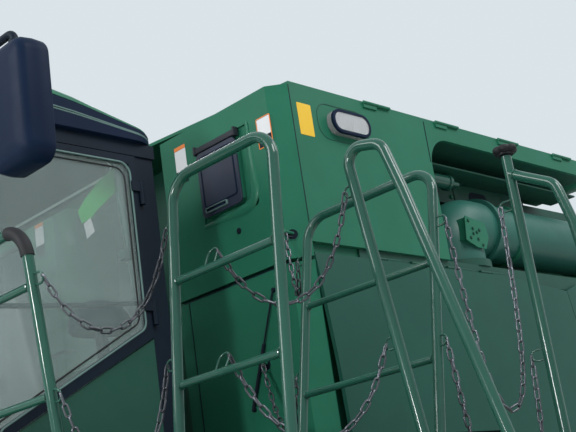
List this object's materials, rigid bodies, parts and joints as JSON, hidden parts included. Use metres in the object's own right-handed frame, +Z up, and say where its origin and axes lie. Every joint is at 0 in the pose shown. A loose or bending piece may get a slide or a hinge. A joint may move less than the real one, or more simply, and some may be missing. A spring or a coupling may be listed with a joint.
{
  "type": "combine harvester",
  "caption": "Green self-propelled combine harvester with glazed cab, grain tank, folding unloading auger, feeder house, boarding ladder with chained rails and steered rear axle.",
  "frame": {"origin": "on the ground under the middle of the whole machine's plan", "axes": "+X to the machine's left, +Y to its rear, +Z up"},
  "size_m": [5.1664, 8.9748, 4.023],
  "materials": {
    "green_paint": "gloss",
    "black_paint": "satin",
    "yellow_paint": "gloss",
    "grey_metal": "worn",
    "chain_steel": "dark oiled",
    "chrome_rod": "polished",
    "tyre_rubber": "matt",
    "black_rubber": "matt",
    "black_plastic": "grained",
    "seat_fabric": "woven",
    "window_glass": "clear",
    "lamp_glass": "clear",
    "engine_iron": "painted"
  },
  "bodies": {
    "chassis": {"main_body": "green_paint", "front_axle": "green_paint", "rear_axle": "green_paint", "grain_tank": "green_paint", "tank_skins": "green_paint", "hinge_rails": "green_paint", "front_cabinets": "green_paint", "engine_block": "engine_iron", "engine_hood": "green_paint", "cooling_box": "green_paint", "engine_stacks": "black_paint", "cab_base": "green_paint", "cab_frame": "black_paint", "cab_glass": "window_glass", "cab_roof": "green_paint", "seat": "seat_fabric", "steering_column": "black_plastic", "mirrors": "black_plastic", "landing": "green_paint", "landing_rails": "green_paint", "ladder": "green_paint", "guard_chains": "chain_steel", "rear_hood": "green_paint", "chopper": "green_paint", "rear_ladder": "green_paint", "lamps": "lamp_glass"},
    "auger": {"auger_elbow": "green_paint", "auger_tube": "green_paint", "auger_spout": "black_rubber"},
    "cab_door": {"door_frame": "black_paint", "door_glass": "window_glass"},
    "cover_left": {"tank_cover_left": "green_paint"},
    "cover_right": {"tank_cover_right": "green_paint"},
    "shield_front_left": {"shield_front_left": "green_paint"},
    "shield_front_right": {"shield_front_right": "green_paint"},
    "shield_rear_left": {"shield_rear_left": "green_paint"},
    "shield_rear_right": {"shield_rear_right": "green_paint"},
    "feeder": {"feeder_house": "green_paint", "feeder_face": "green_paint", "feeder_conveyor": "grey_metal"},
    "lift_barrel_left": {"lift_barrel_left": "green_paint"},
    "lift_barrel_right": {"lift_barrel_right": "green_paint"},
    "lift_rod_left": {"lift_rod_left": "chrome_rod"},
    "lift_rod_right": {"lift_rod_right": "chrome_rod"},
    "knuckle_left": {"knuckle_left": "green_paint"},
    "knuckle_right": {"knuckle_right": "green_paint"},
    "tie_rod": {"tie_rod": "green_paint"},
    "wheel_front_left": {"tyre_front_left": "tyre_rubber", "rim_front_left": "yellow_paint"},
    "wheel_front_right": {"tyre_front_right": "tyre_rubber", "rim_front_right": "yellow_paint"},
    "wheel_rear_left": {"tyre_rear_left": "tyre_rubber", "rim_rear_left": "yellow_paint"},
    "wheel_rear_right": {"tyre_rear_right": "tyre_rubber", "rim_rear_right": "yellow_paint"},
    "disc_left": {"spreader_disc_left": "green_paint"},
    "disc_right": {"spreader_disc_right": "green_paint"},
    "screen": {"rotary_screen": "black_plastic"}
  },
  "joints": [
    {"name": "auger_swing", "type": "hinge", "parent": "chassis", "child": "auger", "pos_m": [0.62177, -0.4875, 3.095], "axis": [0, 0, -1], "range_deg": [0, 100]},
    {"name": "door_swing", "type": "hinge", "parent": "chassis", "child": "cab_door", "pos_m": [0.36477, -2.6175, 3], "axis": [0, 0, 1], "range_deg": [0, 80]},
    {"name": "cover_left_fold", "type": "hinge", "parent": "chassis", "child": "cover_left", "pos_m": [0.85677, -0.6675, 3.9093], "axis": [0, 1, 0], "range_deg": [0, 100]},
    {"name": "shield_front_left_lift", "type": "hinge", "parent": "chassis", "child": "shield_front_left", "pos_m": [0.83477, -0.9675, 3.005], "axis": [0, -1, 0], "range_deg": [0, 80]},
    {"name": "shield_rear_left_lift", "type": "hinge", "parent": "chassis", "child": "shield_rear_left", "pos_m": [0.83477, 1.6325, 3.005], "axis": [0, -1, 0], "range_deg": [0, 80]},
    {"name": "cover_right_fold", "type": "hinge", "parent": "chassis", "child": "cover_right", "pos_m": [-2.16323, -0.6675, 3.9093], "axis": [0, -1, 0], "range_deg": [0, 100]},
    {"name": "shield_front_right_lift", "type": "hinge", "parent": "chassis", "child": "shield_front_right", "pos_m": [-2.14123, -0.9675, 3.005], "axis": [0, 1, 0], "range_deg": [0, 80]},
    {"name": "shield_rear_right_lift", "type": "hinge", "parent": "chassis", "child": "shield_rear_right", "pos_m": [-2.19142, 1.6325, 2.41], "axis": [0, 1, 0], "range_deg": [0, 80]},
    {"name": "feeder_lift", "type": "hinge", "parent": "chassis", "child": "feeder", "pos_m": [-0.65323, -2.3175, 1.48], "axis": [-1, 0, 0], "range_deg": [-9, 12]},
    {"name": "barrel_left_turn", "type": "hinge", "parent": "chassis", "child": "lift_barrel_left", "pos_m": [-0.09323, -1.9275, 0.76], "axis": [-1, 0, 0], "range_deg": [-7.29, 9.38]},
    {"name": "rod_left_slide", "type": "slide", "parent": "lift_barrel_left", "child": "lift_rod_left", "axis": [0, -0.9998, -0.0211], "range_m": [-0.118, 0.1557]},
    {"name": "barrel_right_turn", "type": "hinge", "parent": "chassis", "child": "lift_barrel_right", "pos_m": [-1.21323, -1.9275, 0.76], "axis": [-1, 0, 0], "range_deg": [-7.29, 9.38]},
    {"name": "rod_right_slide", "type": "slide", "parent": "lift_barrel_right", "child": "lift_rod_right", "axis": [0, -0.9998, -0.0211], "range_m": [-0.118, 0.1557]},
    {"name": "steer_left", "type": "hinge", "parent": "chassis", "child": "knuckle_left", "pos_m": [0.40677, 1.9325, 0.72], "axis": [0, 0, 1], "range_deg": [-38, 38]},
    {"name": "steer_right", "type": "hinge", "parent": "chassis", "child": "knuckle_right", "pos_m": [-1.71323, 1.9325, 0.72], "axis": [0, 0, 1], "range_deg": [-38, 38]},
    {"name": "tie_rod_pin", "type": "hinge", "parent": "knuckle_left", "child": "tie_rod", "pos_m": [0.40677, 2.1925, 0.6], "axis": [0, 0, 1], "range_deg": [-38, 38]},
    {"name": "wheel_front_left_spin", "type": "hinge", "parent": "chassis", "child": "wheel_front_left", "pos_m": [0.90677, -1.6675, 0.975], "axis": [1, 0, 0], "continuous": true},
    {"name": "wheel_rear_left_spin", "type": "hinge", "parent": "knuckle_left", "child": "wheel_rear_left", "pos_m": [0.76677, 1.9325, 0.72], "axis": [1, 0, 0], "continuous": true},
    {"name": "disc_left_spin", "type": "hinge", "parent": "chassis", "child": "disc_left", "pos_m": [-0.28323, 3.8525, 1.18], "axis": [0, 0, 1], "continuous": true},
    {"name": "wheel_front_right_spin", "type": "hinge", "parent": "chassis", "child": "wheel_front_right", "pos_m": [-2.21323, -1.6675, 0.975], "axis": [1, 0, 0], "continuous": true},
    {"name": "wheel_rear_right_spin", "type": "hinge", "parent": "knuckle_right", "child": "wheel_rear_right", "pos_m": [-2.07323, 1.9325, 0.72], "axis": [1, 0, 0], "continuous": true},
    {"name": "disc_right_spin", "type": "hinge", "parent": "chassis", "child": "disc_right", "pos_m": [-1.02323, 3.8525, 1.18], "axis": [0, 0, 1], "continuous": true},
    {"name": "screen_spin", "type": "hinge", "parent": "chassis", "child": "screen", "pos_m": [-2.12823, 1.8075, 2.9], "axis": [1, 0, 0], "continuous": true}
  ],
  "couplings": [
    {"joint": "barrel_left_turn", "follows": "feeder_lift", "ratio": 0.6986},
    {"joint": "rod_left_slide", "follows": "feeder_lift", "m_per_rad": 0.71961},
    {"joint": "barrel_right_turn", "follows": "feeder_lift", "ratio": 0.6986},
    {"joint": "rod_right_slide", "follows": "feeder_lift", "m_per_rad": 0.71961},
    {"joint": "steer_right", "follows": "steer_left", "ratio": 1},
    {"joint": "tie_rod_pin", "follows": "steer_left", "ratio": -1}
  ]
}
